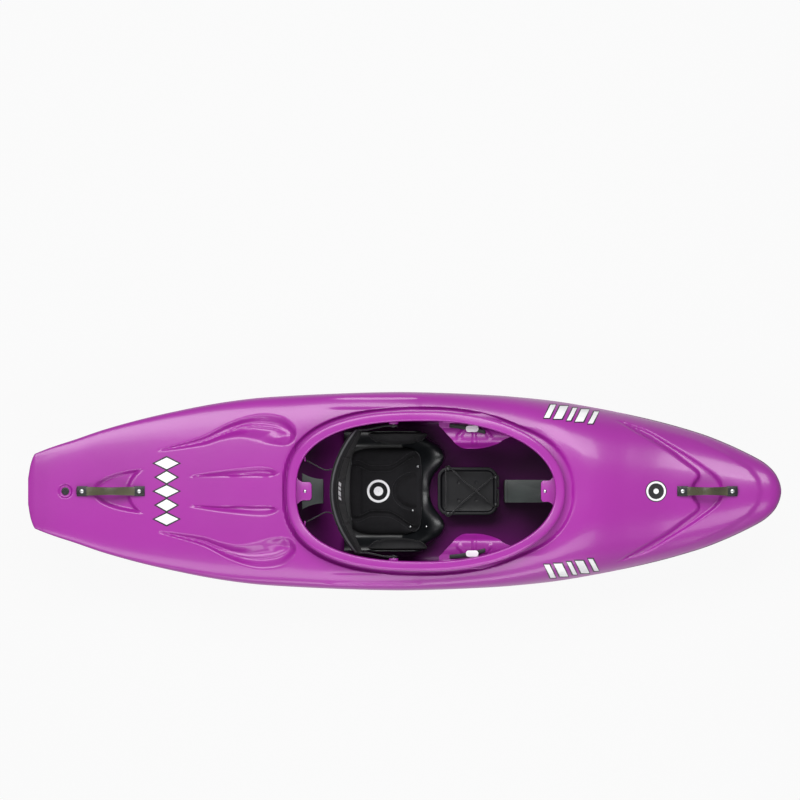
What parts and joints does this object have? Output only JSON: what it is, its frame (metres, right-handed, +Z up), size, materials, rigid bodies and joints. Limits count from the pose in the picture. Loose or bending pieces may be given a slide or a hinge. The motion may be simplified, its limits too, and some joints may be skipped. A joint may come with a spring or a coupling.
{
  "type": "whitewater kayak",
  "caption": "Half-slice whitewater kayak: slim flat stern, full bow, moulded cockpit rim, grab handles, sliding seat, back band, thigh braces and foot rest.",
  "frame": {"origin": "on the ground under the middle of the hull's bounding box", "axes": "+X to the bow along the boat, +Y to port, +Z up"},
  "size_m": [2.53, 0.6696, 0.4259],
  "materials": {
    "hull": "moulded magenta-purple polyethylene, satin gloss",
    "grip": "olive grip plastic, semi-gloss",
    "black_plastic": "black moulded plastic, semi-gloss",
    "steel": "stainless steel",
    "rubber": "black rubber",
    "foam": "black closed-cell foam, matte",
    "pillar_foam": "charcoal closed-cell foam, matte",
    "webbing": "black webbing",
    "cord": "black elastic cord",
    "aluminium": "satin aluminium"
  },
  "bodies": {
    "hull": {"hull_shell": "hull", "stern_handle": "grip", "stern_handle_foot_rear": "black_plastic", "stern_handle_foot_front": "black_plastic", "stern_handle_screw_rear": "steel", "stern_handle_screw_front": "steel", "bow_handle": "grip", "bow_handle_foot_rear": "black_plastic", "bow_handle_foot_front": "black_plastic", "bow_handle_screw_rear": "steel", "bow_handle_screw_front": "steel", "drain_washer": "rubber", "side_bolt_left_rear": "steel", "side_bolt_left_front": "steel", "side_bolt_right_rear": "steel", "side_bolt_right_front": "steel", "front_pillar": "pillar_foam", "front_pillar_cap": "pillar_foam", "rear_pillar": "foam", "rear_pillar_cap": "foam", "front_pillar_bolt": "steel", "rear_pillar_bolt": "steel", "strap_pin_left": "steel", "strap_pin_right": "steel", "band_cord_left": "cord", "band_cord_right": "cord", "seat_rail_left": "black_plastic", "seat_rail_right": "black_plastic", "foot_rail_left": "aluminium", "foot_rail_right": "aluminium"},
    "seat": {"seat_pan": "black_plastic", "seat_pad": "foam", "seat_stud_left": "steel", "seat_stud_right_inner": "steel", "seat_stud_right_front": "steel", "seat_stud_right_rear": "steel", "hip_pad_left": "foam", "hip_pad_right": "foam", "gear_tray": "black_plastic", "tray_hook_rear_left": "black_plastic", "tray_hook_rear_right": "black_plastic", "tray_hook_front_left": "black_plastic", "tray_hook_front_right": "black_plastic", "tray_cord": "cord"},
    "back_band": {"back_band": "foam", "back_strap_left": "webbing", "back_strap_right": "webbing"},
    "brace_left": {"thigh_brace_left": "hull", "brace_strip_left": "black_plastic", "brace_pad_left": "foam", "brace_bolt_left": "steel"},
    "brace_right": {"thigh_brace_right": "hull", "brace_strip_right": "black_plastic", "brace_pad_right": "foam", "brace_bolt_right": "steel"},
    "foot_rest": {"foot_plate": "aluminium", "foot_foam": "foam"},
    "plug": {"drain_plug": "black_plastic"}
  },
  "joints": [
    {"name": "seat_slide", "type": "slide", "parent": "hull", "child": "seat", "axis": [1, 0, 0], "range_m": [-0.015, 0.016]},
    {"name": "back_band_tilt", "type": "hinge", "parent": "hull", "child": "back_band", "pos_m": [-0.036, 0, 0.246], "axis": [0, 1, 0], "range_deg": [-6, 20], "deforming": ["band_cord_left", "band_cord_right"]},
    {"name": "brace_left_slide", "type": "slide", "parent": "hull", "child": "brace_left", "axis": [0.9806, 0, 0.1961], "range_m": [-0.02, 0.02]},
    {"name": "brace_right_slide", "type": "slide", "parent": "hull", "child": "brace_right", "axis": [0.9806, 0, 0.1961], "range_m": [-0.02, 0.02]},
    {"name": "foot_rest_slide", "type": "slide", "parent": "hull", "child": "foot_rest", "axis": [1, 0, 0], "range_m": [-0.08, 0.08]},
    {"name": "drain_plug_turn", "type": "hinge", "parent": "hull", "child": "plug", "pos_m": [-1.14, 0, 0.31], "axis": [0, 0, 1], "range_deg": [0, 720]}
  ]
}
